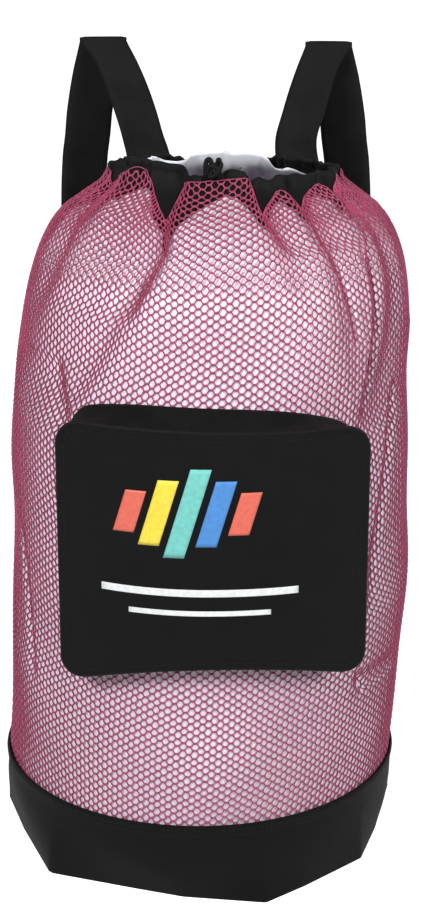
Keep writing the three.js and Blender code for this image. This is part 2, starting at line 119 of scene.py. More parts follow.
sweep_front = -4.0
sweep_half = 4.0
sweep_back = 3.0
sweep_radius = 1.5
sweep_height = 5.0
sweep_line = [(sweep_front, 0.0)] + [
    (sweep_back + sweep_radius * math.sin(t), sweep_radius * (1.0 - math.cos(t)))
    for t in np.linspace(0.0, math.pi / 2, 13)] + [(sweep_back + sweep_radius, sweep_height)]
sweep_mesh = bpy.data.meshes.new("studio_sweep")
sweep_mesh.from_pydata(
    [(x, y, z) for y, z in sweep_line for x in (-sweep_half, sweep_half)], [],
    [(2 * i, 2 * i + 1, 2 * i + 3, 2 * i + 2) for i in range(len(sweep_line) - 1)])
sweep = new_object("studio_sweep", sweep_mesh)
sweep_paper, paper_tree, paper_shader = new_material("studio_paper")
fill(paper_tree, paper_shader, {
    "Base Color": (0.93, 0.93, 0.93, 1.0), "Roughness": 0.95, "Specular IOR Level": 0.1,
    "Emission Color": (1.0, 1.0, 1.0, 1.0), "Emission Strength": 0.70})
sweep_mesh.materials.append(sweep_paper)
sweep.visible_diffuse = False


# Base band: a hem of black woven nylon that holds the foot of the net and stands on the
# floor. It is cut as one long strip, sewn round with two rows of stitching and sags into
# soft corners. The bag's form, which all the cloth follows, is set out here.
body_half_width = 0.203
body_half_depth = 0.201
rim_height = 0.692
rim_lean = 0.026
band_height = 0.084
band_thickness = 0.002
seam_gap = 0.0006
net_foot = 0.074
foot_ease = 1.5

# Height, half width, half depth and lean, as shares of the rim's height, the half width,
# the half depth and the rim's lean.
sections = np.array([
    (0.000, 0.975, 0.970, 0.00), (0.060, 0.988, 1.000, 0.00), (0.120, 0.984, 1.000, 0.04),
    (0.200, 0.985, 0.995, 0.19), (0.300, 0.992, 0.985, 0.35), (0.400, 0.995, 0.980, 0.48),
    (0.500, 0.985, 0.980, 0.50), (0.600, 0.978, 0.975, 0.45), (0.700, 0.960, 0.965, 0.50),
    (0.780, 0.938, 0.940, 0.70), (0.850, 0.905, 0.885, 0.82), (0.900, 0.850, 0.775, 0.87),
    (0.935, 0.768, 0.640, 0.88), (0.960, 0.655, 0.500, 0.90), (0.977, 0.580, 0.405, 0.95),
    (1.000, 0.552, 0.355, 1.00), (1.020, 0.548, 0.350, 1.00)])

# Corners of the sagging foot: angle from the front and reach as a share of the section.
foot_corners = np.array([
    (-137, 1.02), (-94, 1.03), (-72, 0.96), (-45, 1.05), (-18, 0.945), (-4, 0.975),
    (18, 1.08), (31, 1.02), (54, 1.02), (73, 0.965), (101, 1.05), (137, 1.02), (180, 0.99)])

# Folds that run down from the gathered mouth: their angle at the rim, halfway and where
# they run out, depth as a share of the fold's, spread in degrees, the share of the rim's
# height where they run out, and how far to its left and right each gathers the net, in
# degrees. A ridge is negative.
fold_depth = 0.009
fold_growth = 0.7
mouth_folds = [
    (-69.0, -62.0, -70.0, 0.90, 5.5, 0.80, 7, 5), (-21.5, -26.0, -44.0, 1.00, 4.5, 0.69, 13, 3),
    (-3.0, -4.0, -6.0, -0.35, 12.0, 0.80, 9, 9), (15.8, 20.0, 30.0, 0.80, 4.5, 0.82, 3, 6),
    (34.6, 39.0, 44.0, 0.90, 4.5, 0.72, 3, 7), (61.5, 63.0, 46.0, 0.90, 5.0, 0.66, 4, 7),
    (86.0, 85.0, 84.0, 0.80, 7.0, 0.78, 6, 6), (112.0, 115.0, 118.0, 0.90, 6.0, 0.74, 5, 7),
    (142.0, 146.0, 150.0, 0.80, 7.0, 0.76, 6, 5), (173.0, 172.0, 171.0, 1.00, 6.0, 0.70, 5, 6),
    (203.0, 200.0, 197.0, 0.80, 6.0, 0.78, 6, 4), (232.0, 228.0, 224.0, 0.90, 6.0, 0.74, 5, 6),
    (261.0, 259.0, 258.0, 0.80, 7.0, 0.80, 6, 6)]


def through(table, at):
    """Smooth curve through a table's rows, read at values of its first column."""
    key, value = table[:, 0], table[:, 1:]
    last = len(key) - 1
    before = np.maximum(np.arange(last + 1) - 1, 0)
    after = np.minimum(np.arange(last + 1) + 1, last)
    slope = (value[after] - value[before]) / (key[after] - key[before])[:, None]
    at = np.asarray(at, float)
    i = np.clip(np.searchsorted(key, at.ravel()) - 1, 0, last - 1)
    span = (key[i + 1] - key[i])[:, None]
    t = np.clip((at.ravel()[:, None] - key[i][:, None]) / span, 0.0, 1.0)
    made = (value[i] * (2 * t ** 3 - 3 * t ** 2 + 1) + slope[i] * span * (t ** 3 - 2 * t ** 2 + t)
            + value[i + 1] * (3 * t ** 2 - 2 * t ** 3) + slope[i + 1] * span * (t ** 3 - t ** 2))
    return made.reshape(at.shape + (value.shape[1],))


def risen(value, start, rise):
    """0 up to a start, then evenly up to 1 over a rise."""
    return np.clip((value - start) / rise, 0.0, 1.0)


def walked(steps):
    """Distance from the first point to each point, from the steps between them."""
    return np.concatenate([[0.0], np.cumsum(steps)])


def closed_line(line):
    """A line that comes back to its first point."""
    return np.concatenate([line, line[:1]])


def round_the_bag(table, angle):
    """Heights at angles round the bag, straight between a table's rows."""
    table = np.asarray(table, float)
    return np.interp(angle, table[:, 0], table[:, 1], period=360)


def turn_between(a, b):
    """Turn from b to a the short way round, in degrees."""
    return (a - b + 180.0) % 360.0 - 180.0


def foot_reach(angle):
    """Reach of the sagging foot, with straight sides between its corners."""
    corner, reach = foot_corners[:, 0], foot_corners[:, 1]
    count = len(corner)
    turned = corner[0] + (angle - corner[0]) % 360.0
    i = np.searchsorted(corner, turned, side="right") - 1
    start = np.radians(corner[i])
    end = np.radians(np.where(i + 1 < count, corner[(i + 1) % count], corner[0] + 360.0))
    at = np.radians(turned)
    near, far = reach[i], reach[(i + 1) % count]
    return near * far * np.sin(end - start) / (
        near * np.sin(at - start) + far * np.sin(end - at))


def fold_centre(fold, t):
    """Angle of a fold's middle, from 0 where it runs out to 1 at the rim."""
    top, middle, foot = fold[:3]
    return foot * (1 - t) * (1 - 2 * t) + 4 * middle * t * (1 - t) + top * t * (2 * t - 1)


def mouth_fold(angle, height):
    """Depth of the folds below the mouth."""
    depth = np.zeros(np.broadcast(angle, height).shape)
    for fold in mouth_folds:
        share, spread, reach = fold[3:6]
        low = reach * rim_height
        t = risen(height, low, rim_height - low)
        across = turn_between(angle, fold_centre(fold, t)) / spread
        depth = depth + share * fold_depth * t ** fold_growth * np.exp(-across ** 2)
    return depth


def body_surface(angle, height, dent=0.0):
    """Points of the bag's form, each drawn in toward the middle by its dent."""
    angle, height, dent = np.broadcast_arrays(angle, height, dent)
    settled = np.clip(height / net_foot, 0.0, 1.0)
    foot = 1.0 + (foot_reach(angle) - 1.0) * (1.0 - settled) ** foot_ease
    wide, deep, lean = np.moveaxis(through(sections, height / rim_height), -1, 0)
    wide = wide * body_half_width * foot - dent
    deep = deep * body_half_depth * foot - dent
    turn = np.radians(angle)
    return np.stack(
        [lean * rim_lean + wide * np.sin(turn), -deep * np.cos(turn), height], -1)


def body_point(angle, height, outward=0.0, dent=None):
    """Points of the bag's form, drawn in by a fold's depth and moved out along its normal."""
    angle, height = np.broadcast_arrays(np.asarray(angle, float), np.asarray(height, float))
    dent = mouth_fold(angle, height) if dent is None else dent
    around = body_surface(angle + 1.0, height) - body_surface(angle - 1.0, height)
    upward = body_surface(angle, height + 0.001) - body_surface(angle, height - 0.001)
    normal = np.cross(around, upward)
    normal /= np.linalg.norm(normal, axis=-1, keepdims=True)
    return body_surface(angle, height, dent) + normal * np.asarray(outward)[..., None]


def ripple(along, up, pitch, seed):
    """Soft uneven waves from -1 to 1, the same each time for a seed."""
    draw = np.random.default_rng(seed)
    waves = np.zeros(np.broadcast(along, up).shape)
    for _ in range(7):
        heading, phase = draw.uniform(0, 2 * math.pi, 2)
        long = pitch * draw.uniform(0.7, 1.9)
        waves = waves + np.sin(
            2 * math.pi * (along * math.cos(heading) + up * math.sin(heading)) / long + phase)
    return waves / 4.0


def placed(piece, stands_for):
    """Fixes a piece to the bag's one body and hides the CAD part that it stands for."""
    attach(piece, "root")
    if stands_for:
        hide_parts(stands_for)
    return piece


def quads(grid):
    """Four-cornered faces between the neighbours of a grid of point numbers."""
    corners = [grid[:-1, :-1], grid[:-1, 1:], grid[1:, 1:], grid[1:, :-1]]
    return np.stack(corners, -1).reshape(-1, 4)


def cloth_wall(name, outer, inner, closed, material, stands_for=None):
    """A closed cloth wall from the grids of its outer and inner faces, rows going up and
    columns going round, with a UV map in metres along the cloth."""
    rows, columns = outer.shape[:2]
    seam = 1 if closed else 0
    point = np.arange(2 * rows * columns).reshape(2, rows, columns)
    point = np.concatenate([point, point[:, :, :seam]], 2)
    front, back = np.arange(point.size).reshape(point.shape)
    faces = [quads(front), quads(back)[:, ::-1], quads(np.stack([back[0], front[0]])),
             quads(np.stack([front[-1], back[-1]]))]
    if not closed:
        faces += [quads(np.stack([front[:, 0], back[:, 0]])),
                  quads(np.stack([back[:, -1], front[:, -1]]))]
    faces = np.concatenate(faces)
    middle = outer[rows // 2]
    along = walked(np.linalg.norm(np.roll(middle, -1, 0) - middle, axis=1))[:columns + seam]
    up = walked(np.linalg.norm(np.diff(outer, axis=0), axis=2).mean(1))
    chart = np.stack(np.broadcast_arrays(along, up[:, None]), -1)
    chart = np.broadcast_to(chart, point.shape + (2,)).reshape(-1, 2)

    mesh = bpy.data.meshes.new(name)
    mesh.from_pydata(np.stack([outer, inner]).reshape(-1, 3).tolist(), [],
                     point.ravel()[faces].tolist())
    layer = mesh.uv_layers.new(name="cloth")
    layer.data.foreach_set("uv", chart[faces].astype(np.float32).ravel())
    mesh.polygons.foreach_set("use_smooth", np.ones(len(faces), bool))
    mesh.materials.append(material)
    mesh.update()
    return placed(new_object(name, mesh), stands_for)


def own_place(tree):
    """A piece's own coordinates, in metres."""
    return tree.nodes.new("ShaderNodeTexCoord").outputs["Object"]


def noise(tree, place, scale, detail=2.0):
    """Uneven values from 0 to 1 through the piece."""
    return add_node(tree, "ShaderNodeTexNoise", {
        "Vector": place, "Scale": scale, "Detail": detail}).outputs["Fac"]


def ramp(tree, value, *stops):
    """Colour for a value, from two stops that each give a value and its colour."""
    made = add_node(tree, "ShaderNodeValToRGB", {"Fac": value})
    for element, (position, colour) in zip(made.color_ramp.elements, stops):
        element.position = position
        element.color = (*colour, 1)
    return made.outputs["Color"]


def bump(tree, height, strength, distance, **under):
    """A bumped normal, over another one if Normal is given."""
    return add_node(tree, "ShaderNodeBump", {
        "Height": height, "Strength": strength, "Distance": distance, **under}).outputs["Normal"]


def shaded(colour, *shares):
    """A colour with a share of each of its parts."""
    return tuple(part * share for part, share in zip(colour, shares))


def woven_cloth(name, shade, pitch, relief, roughness, sheen):
    """Plain woven cloth: warp and weft threads, a faint mottle and small crumples."""
    wave_at_scale_one = 0.314
    material, tree, shader = new_material(name)
    chart = add_node(tree, "ShaderNodeUVMap", {}, uv_map="cloth").outputs["UV"]
    warp, weft = [
        add_node(tree, "ShaderNodeTexWave", {
            "Vector": chart, "Scale": wave_at_scale_one / pitch, "Distortion": 0.6, "Detail": 1.0},
            bands_direction=direction).outputs["Fac"] for direction in ("X", "Y")]
    weave = add_node(tree, "ShaderNodeMath", {0: warp, 1: weft}, operation="MULTIPLY").outputs["Value"]
    place = own_place(tree)
    mottle = noise(tree, place, 38.0, 6.0)
    tone = add_node(tree, "ShaderNodeMath", {0: weave, 1: 0.45, 2: mottle}, operation="MULTIPLY_ADD")
    rough = add_node(tree, "ShaderNodeMapRange", {
        "Value": mottle, "To Min": roughness - 0.08, "To Max": roughness + 0.10})
    threads = bump(tree, weave, relief, 0.0004)
    fill(tree, shader, {
        "Base Color": ramp(tree, tone.outputs["Value"], (0.35, shaded(shade, 0.65, 0.65, 0.65)),
                           (0.95, shaded(shade, 1.5, 1.5, 1.5))),
        "Roughness": rough.outputs["Result"],
        "Normal": bump(tree, noise(tree, place, 22.0, 4.0), 0.35, 0.004, Normal=threads),
        "Sheen Weight": sheen, "Sheen Roughness": 0.4, "Specular IOR Level": 0.10})
    return material


def made_with(tree, carrier, inputs):
    """Runs a node tree on a carrier and leaves the result as its plain mesh."""
    step = carrier.modifiers.new("made", "NODES")
    step.node_group = tree
    for item in tree.interface.items_tree:
        if item.item_type == "SOCKET" and item.in_out == "INPUT" and item.name in inputs:
            step[item.identifier] = inputs[item.name]
    bpy.context.view_layer.update()
    evaluated = carrier.evaluated_get(bpy.context.evaluated_depsgraph_get())
    mesh = bpy.data.meshes.new_from_object(evaluated)
    mesh.name = carrier.name
    carrier.modifiers.remove(step)
    carrier.data = mesh
    return carrier


def new_tree(name, inputs, output):
    """A node tree with its named inputs; gives the tree, their sockets and its last node."""
    tree = bpy.data.node_groups.new(name, "GeometryNodeTree")
    for title, kind, value in inputs:
        socket = tree.interface.new_socket(title, in_out="INPUT", socket_type="NodeSocket" + kind)
        if value is not None:
            socket.default_value = value
    tree.interface.new_socket(output, in_out="OUTPUT", socket_type="NodeSocketGeometry")
    return tree, tree.nodes.new("NodeGroupInput").outputs, tree.nodes.new("NodeGroupOutput")


def finish_tree(tree, made, given, last):
    """Sends out what a tree made, as one smooth mesh in its material."""
    real = add_node(tree, "GeometryNodeRealizeInstances", {"Geometry": made})
    smooth = add_node(tree, "GeometryNodeSetShadeSmooth", {"Geometry": real.outputs["Geometry"]})
    finish = add_node(tree, "GeometryNodeSetMaterial", {
        "Geometry": smooth.outputs["Geometry"], "Material": given["Finish"]})
    tree.links.new(finish.outputs["Geometry"], last.inputs[0])
    return tree


def stitching_tree():
    """Evenly spaced stitches along lines of edges, each a small rounded bar of thread."""
    tree, given, last = new_tree("stitching", [
        ("Lines", "Geometry", None), ("Pitch", "Float", 0.004), ("Stitch Length", "Float", 0.003),
        ("Thread", "Float", 0.0005), ("Finish", "Material", None)], "Stitches")
    line = add_node(tree, "GeometryNodeMeshToCurve", {"Mesh": given["Lines"]})
    points = add_node(tree, "GeometryNodeCurveToPoints", {
        "Curve": line.outputs["Curve"], "Length": given["Pitch"]}, mode="LENGTH")
    bead = add_node(tree, "GeometryNodeMeshIcoSphere", {"Radius": 1.0, "Subdivisions": 1})
    half = add_node(tree, "ShaderNodeMath", {0: given["Stitch Length"], 1: 0.5}, operation="MULTIPLY")
    size = add_node(tree, "ShaderNodeCombineXYZ", {
        "X": given["Thread"], "Y": given["Thread"], "Z": half.outputs["Value"]})
    put = add_node(tree, "GeometryNodeInstanceOnPoints", {
        "Points": points.outputs["Points"], "Instance": bead.outputs["Mesh"],
        "Rotation": points.outputs["Rotation"], "Scale": size.outputs["Vector"]})
    return finish_tree(tree, put.outputs["Instances"], given, last)


def line_carrier(name, lines, values=None):
    """An object that holds polylines of points as edges; a closed line repeats its first."""
    points = np.concatenate([np.asarray(line, float) for line in lines])
    edges, start = [], 0
    for line in lines:
        run = np.arange(start, start + len(line) - 1)
        edges.append(np.stack([run, run + 1], 1))
        start += len(line)
    mesh = bpy.data.meshes.new(name)
    mesh.from_pydata(points.tolist(), np.concatenate(edges).tolist(), [])
    if values is not None:
        mesh.attributes.new("yarn", "FLOAT", "POINT").data.foreach_set(
            "value", np.concatenate(values).astype(np.float32))
    return new_object(name, mesh)


stitching = stitching_tree()
black_thread = woven_cloth(
    "black_thread", (0.011, 0.011, 0.012), pitch=0.0008, relief=0.2, roughness=0.6, sheen=0.05)


def sewn(name, lines, pitch, length, thread):
    """Stitch rows along lines on the cloth."""
    rows = made_with(stitching, line_carrier(name, lines), {
        "Pitch": pitch, "Stitch Length": length, "Thread": thread, "Finish": black_thread})
    if not rows.data.uv_layers:
        rows.data.uv_layers.new(name="cloth")
    placed(rows, None)


band_angles = np.arange(0.0, 360.0, 1.2)
band_rows = np.concatenate([[0.0, 0.02, 0.06], np.linspace(0.12, 0.93, 14), [0.965, 0.99, 1.0]])
band_cloth = woven_cloth(
    "base_band_nylon", (0.0038, 0.0040, 0.0041), pitch=0.0011, relief=0.30, roughness=0.75, sheen=0.01)
band_sag = 0.0022
band_lip = 0.0012
stitch_lift = 0.0001


def band_face(share, outward):
    """Points round the band at a share of its height."""
    height = share * band_height
    along = np.radians(band_angles) * body_half_width
    folds = band_sag * ripple(along, height, pitch=0.085, seed=11) * np.sin(share * math.pi)
    lip = band_lip * np.exp(-((share - 0.95) / 0.05) ** 2)
    points = body_point(band_angles, np.full_like(band_angles, height), outward + folds + lip)
    points[:, 2] = height
    return points


band_outer = np.array([band_face(share, seam_gap + band_thickness) for share in band_rows])
band_inner = np.array([band_face(share, seam_gap) for share in band_rows])
base_band = cloth_wall("base_band_cloth", band_outer, band_inner, True, band_cloth,
                       "base_band")

band_seams = [band_face(share, seam_gap + band_thickness + stitch_lift) for share in (0.88, 0.955)]
sewn("base_band_stitches", [closed_line(seam) for seam in band_seams],
     pitch=0.0042, length=0.0030, thread=0.00045)


# Base panel: a stiff black sheet, flat on the floor, sewn inside the foot of the band.
# The CAD solid has its true shape and stays, with a coated woven finish.
panel_cloth, panel_tree, panel_shader = new_material("base_panel_coated")
panel_place = own_place(panel_tree)
panel_weave = add_node(panel_tree, "ShaderNodeTexChecker", {
    "Vector": panel_place, "Scale": 700.0,
    "Color1": (0.012, 0.012, 0.013, 1), "Color2": (0.020, 0.020, 0.021, 1)})
fill(panel_tree, panel_shader, {
    "Base Color": panel_weave.outputs["Color"], "Roughness": 0.55,
    "Normal": bump(panel_tree, noise(panel_tree, panel_place, 30.0), 0.3, 0.0006)})
panel_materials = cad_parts["base_panel"].data.materials
panel_materials.clear()
panel_materials.append(panel_cloth)


# Net: one tube of crimson knit from the base band to a zigzag seam on the collar. Its
# yarns run up in zigzags that are knitted together by short doubled lengths, which leaves
# six-sided holes. Where the mouth is gathered the spare width is bunched in the folds.
cell_width = 0.0109
row_rise = 0.0039
link_share = 0.54
yarn_radius = 0.00080
link_radius = 0.00114
seam_radius = 0.0005
net_middle = 0.00075
net_start = 0.077
zigzag = [
    (-104, 0.690), (-92, 0.670), (-81, 0.688), (-74, 0.684), (-69.5, 0.675), (-68, 0.680),
    (-61, 0.685), (-54.5, 0.690), (-49, 0.694), (-45, 0.694), (-41, 0.692), (-37, 0.685),
    (-34, 0.676), (-28, 0.667), (-24, 0.659), (-21.5, 0.653), (-20.9, 0.668), (-20.2, 0.682),
    (-17, 0.684), (-10, 0.685), (0, 0.687), (9.8, 0.688), (12.2, 0.686), (14.4, 0.677),
    (15.3, 0.667), (15.9, 0.658), (18.2, 0.664), (22, 0.671), (24.7, 0.676), (27.3, 0.677),
    (29.7, 0.675), (32, 0.671), (33.8, 0.665), (34.7, 0.661), (38.5, 0.669), (42.7, 0.675),
    (46.7, 0.678), (50.5, 0.679), (56.5, 0.675), (60, 0.670), (61.7, 0.666), (65.5, 0.672),
    (73, 0.684), (86, 0.664), (98, 0.683), (112, 0.659), (127, 0.684), (142, 0.662),
    (158, 0.683), (173, 0.657), (188, 0.684), (203, 0.660), (217, 0.682), (232, 0.658),
    (246, 0.684)]

# Creases, where the net is folded over itself: depth and half width in metres, how much of
# the spare net each takes up, and the angle and height of each point that it passes.
body_creases = [
    (0.0045, 0.0035, 1.5, [(-70, 0.674), (-66, 0.660), (-64.5, 0.646)]),
    (0.0060, 0.0060, 1.6, [(-21, 0.656), (-19, 0.632), (-22.5, 0.610), (-28, 0.570)]),
    (0.0035, 0.0080, 0.5, [(-26, 0.600), (-34.5, 0.540), (-43, 0.486)]),
    (0.0045, 0.0035, 1.4, [(16, 0.662), (19.5, 0.644), (23.5, 0.628)]),
    (0.0040, 0.0032, 1.5, [(34.5, 0.664), (35, 0.642), (38.5, 0.620), (42.5, 0.576), (44, 0.544)]),
    (0.0050, 0.0038, 1.7, [(62.5, 0.668), (56, 0.652), (57.5, 0.640)]),
    (0.0055, 0.0045, 2.0, [(57, 0.642), (53, 0.616), (52.5, 0.554), (50.5, 0.516), (47, 0.470)]),
    (0.0035, 0.0070, 1.0, [(-42, 0.460), (-47, 0.500), (-51, 0.530)]),
    (0.0060, 0.0050, 2.2, [(65, 0.500), (63, 0.468), (58, 0.400), (52, 0.330), (49, 0.270)]),
    (0.0060, 0.0050, 2.0, [(-72, 0.345), (-68, 0.320), (-65, 0.285), (-62, 0.235), (-59, 0.190)]),
    (0.0040, 0.0045, 1.2, [(46, 0.215), (50, 0.190)]),
    (0.0040, 0.0050, 1.2, [(112, 0.480), (96, 0.300)]),
    (0.0040, 0.0050, 1.2, [(150, 0.300), (163, 0.150)]),
    (0.0040, 0.0050, 1.2, [(-112, 0.520), (-128, 0.340)]),
    (0.0040, 0.0050, 1.2, [(-150, 0.260), (-139, 0.120)]),
    (0.0035, 0.0045, 1.0, [(-96, 0.240), (-88, 0.110)]),
    (0.0035, 0.0050, 1.0, [(178, 0.470), (171, 0.330)])]
gather_height = 0.60
gather_rise = 0.09
gather_wave = 0.0009
slow_wave = 0.0010


def crease_share(angle, height, crease):
    """1 along the middle of a crease's line, falling to 0 beside it and at its ends."""
    half, points = crease[1], crease[3]
    best = np.zeros(np.broadcast(angle, height).shape)
    for i, (start, end) in enumerate(zip(points[:-1], points[1:])):
        run = np.array([math.radians(end[0] - start[0]) * body_half_width, end[1] - start[1]])
        x = np.radians(turn_between(angle, start[0])) * body_half_width
        z = height - start[1]
        t = np.clip((x * run[0] + z * run[1]) / (run @ run), 0.0, 1.0)
        off = np.hypot(x - t * run[0], z - t * run[1])
        ends = 1 - (2 * (i + t) / (len(points) - 1) - 1) ** 4
        best = np.maximum(best, np.exp(-(off / half) ** 2) * ends)
    return best


def net_dent(angle, height):
    """Every fold, crease and small wave of the net."""
    depth = mouth_fold(angle, height)
    for crease in body_creases:
        depth = depth + crease[0] * crease_share(angle, height, crease)
    gathered = risen(height, gather_height, gather_rise) ** 1.5
    turn = np.radians(angle)
    small = np.sin(31 * turn + 1.3 * np.sin(5 * turn)) + 0.7 * np.sin(53 * turn + 2.0)
    depth = depth + gather_wave * gathered * small
    return depth + slow_wave * ripple(turn * body_half_width, height, pitch=0.11, seed=5)


# Rows are even along the net's own surface, columns even round it with the spare width
# moved into the folds and the creases.
girth_ease = 0.8
pull_ease = 0.6
pull_below = 0.02
uneven_crowd = 0.05
uneven_yarn = 0.04
row_wobble = 0.00035
row_wave = 0.0018

fine_height = np.linspace(net_start, rim_height + 0.004, 1200)
fine_shape = through(sections, fine_height / rim_height)
fine_reach = (fine_shape[:, 0] * body_half_width + fine_shape[:, 1] * body_half_depth) / 2
climbed = walked(np.hypot(np.diff(fine_height), np.diff(fine_reach)))
row_count = int(climbed[-1] / row_rise)
row_height = np.interp(np.arange(row_count) * row_rise, climbed, fine_height)
row_reach = np.interp(row_height, fine_height, fine_reach)
line_count = 2 * int(round(2 * math.pi * fine_reach.max() / cell_width))
line_step = 360.0 / line_count
ring = np.arange(-180.0, 180.25, 0.25)


def crowding(height, kept):
    """How closely the yarns lie round the bag at a height, with a share kept evenly."""
    pulls = []
    for fold in mouth_folds:
        if fold[3] > 0:
            low = fold[5] * rim_height
            t = risen(height, low, rim_height - low)
            share = fold[3] * (t ** pull_ease + pull_below)
            away = turn_between(ring, fold_centre(fold, t))
            left, right = fold[6:]
            bell = np.exp(-(away / np.where(away < 0, left, right)) ** 2)
            pulls.append((share, bell / ((left + right) / 2 * math.sqrt(math.pi))))
    total = sum(share for share, _ in pulls)
    crowd = np.full(ring.shape, kept)
    for share, bell in pulls:
        crowd += 360.0 * (1.0 - kept) * share / total * bell
    for crease in body_creases:
        crowd += crease[2] * crease_share(ring, height, crease)
    return crowd + uneven_crowd * ripple(
        np.radians(ring) * body_half_width, height, pitch=0.16, seed=23)


net_angles = np.zeros((row_count, line_count))
turns = np.array([-360.0, 0.0, 360.0])[:, None]
yarn, row = np.arange(line_count), np.arange(row_count)[:, None]
for r, height in enumerate(row_height):
    crowd = crowding(height, min(row_reach[r] / fine_reach.max(), 1.0) ** girth_ease)
    run = walked((crowd[1:] + crowd[:-1]) / 2)
    run *= 360.0 / run[-1]
    run -= np.interp(0.0, ring, run) - 180.0
    offset = (-1.0) ** (yarn + r) * line_step * (1 - link_share) / 2
    wanted = yarn * line_step + offset + uneven_yarn * np.sin(0.37 * r + 1.9 * yarn)
    found = np.interp(wanted, (run[:-1] + turns).ravel(), (ring[:-1] + turns).ravel())
    net_angles[r] = turn_between(found, 0.0)

net_heights = row_height[:, None] + row_wobble * np.sin(0.9 * yarn + 1.7 * row)
net_heights = net_heights + row_wave * ripple(
    np.radians(net_angles) * body_half_width, row_height[:, None], pitch=0.20, seed=31)
net_heights[0] = row_height[0]
net_over = net_heights - round_the_bag(zigzag, net_angles)


def yarn_tree():
    """Round yarns along lines of edges, as thick as each point's yarn attribute says."""
    tree, given, last = new_tree("yarns", [
        ("Lines", "Geometry", None), ("Sides", "Int", 3), ("Finish", "Material", None)], "Yarns")
    line = add_node(tree, "GeometryNodeMeshToCurve", {"Mesh": given["Lines"]})
    thick = add_node(tree, "GeometryNodeInputNamedAttribute", {"Name": "yarn"}, data_type="FLOAT")
    circle = add_node(tree, "GeometryNodeCurvePrimitiveCircle", {
        "Resolution": given["Sides"], "Radius": 1.0})
    tube = add_node(tree, "GeometryNodeCurveToMesh", {
        "Curve": line.outputs["Curve"], "Profile Curve": circle.outputs["Curve"],
        "Scale": thick.outputs["Attribute"], "Fill Caps": True})
    return finish_tree(tree, tube.outputs["Mesh"], given, last)


def knit_yarn(name, shade, sheen, specular):
    """Polyester yarn: a soft twist, fuzz that catches the light and uneven dye."""
    material, tree, shader = new_material(name)
    place = own_place(tree)
    twist = add_node(tree, "ShaderNodeTexWave", {"Vector": place, "Scale": 900.0},
                     bands_direction="DIAGONAL")
    fill(tree, shader, {
        "Base Color": ramp(tree, noise(tree, place, 120.0, 3.0),
                           (0.30, shaded(shade, 0.75, 0.70, 0.75)), (0.70, shade)),
        "Roughness": 0.55, "Normal": bump(tree, twist.outputs["Fac"], 0.4, 0.0002),
        "Sheen Weight": sheen, "Sheen Roughness": 0.35, "Sheen Tint": (1.0, 0.55, 0.70, 1.0),
        "Specular IOR Level": specular})
    return material


def spun(name, lines, thick, sides, finish, stands_for=None):
    """A piece of yarn or cord along lines, as thick as each point says."""
    made = made_with(yarns, line_carrier(name, lines, thick), {"Sides": sides, "Finish": finish})
    placed(made, stands_for)


yarns = yarn_tree()
crimson_yarn = knit_yarn("crimson_yarn", (0.40, 0.046, 0.120), sheen=0.20, specular=0.5)
yarn_swell = 0.28
yarn_swell_height = 0.625
yarn_swell_rise = 0.04


def gathered_yarn(height):
    """Yarns swell a little where the net is drawn together under the mouth."""
    return 1.0 + yarn_swell * risen(np.asarray(height), yarn_swell_height, yarn_swell_rise)


def net_place(angle, height):
    """Points in the middle of the net, folds and creases and all."""
    return body_point(angle, height, -net_middle, net_dent(angle, height))


def rows_below_edge(j):
    """How many of a yarn's rows lie below the zigzag edge."""
    over = net_over[:, j] > 0
    return int(np.argmax(over)) if over.any() else row_count


def net_half(name, first, last):
    """One half of the net, between two of its vertical zigzag yarns."""
    lines, thick = [], []
    for j in range(first, last):
        stop = rows_below_edge(j)
        angle, height = list(net_angles[:stop, j]), list(net_heights[:stop, j])
        if 0 < stop < row_count:
            below, above = net_over[stop - 1, j], net_over[stop, j]
            t = below / (below - above)
            step = turn_between(net_angles[stop, j], net_angles[stop - 1, j])
            angle.append(net_angles[stop - 1, j] + step * t)
            height.append(height[-1] + (net_heights[stop, j] - height[-1]) * t)
        lines.append(net_place(np.array(angle), np.array(height)))
        thick.append(yarn_radius * gathered_yarn(height))
    for j in range(first, last):
        k = (j + 1) % line_count
        rows = np.arange(min(rows_below_edge(j), rows_below_edge(k)))
        knit = rows[(j + rows) % 2 == 0]
        ends = np.stack([net_angles[knit, j], net_angles[knit, k]], 1)
        tall = np.stack([net_heights[knit, j], net_heights[knit, k]], 1)
        lines.extend(net_place(ends, tall))
        thick.extend(link_radius * gathered_yarn(tall))
    spun(name, lines, thick, 3, crimson_yarn, "net_wall")


quarter = line_count // 4
net_half("net_front", quarter, 3 * quarter)
net_half("net_back", -quarter, quarter)

edge_angles = np.arange(-180.0, 180.6, 0.6)
edge_line = net_place(edge_angles, round_the_bag(zigzag, edge_angles))
spun("net_seam", [edge_line], [np.full(len(edge_line), seam_radius)], 6, crimson_yarn)


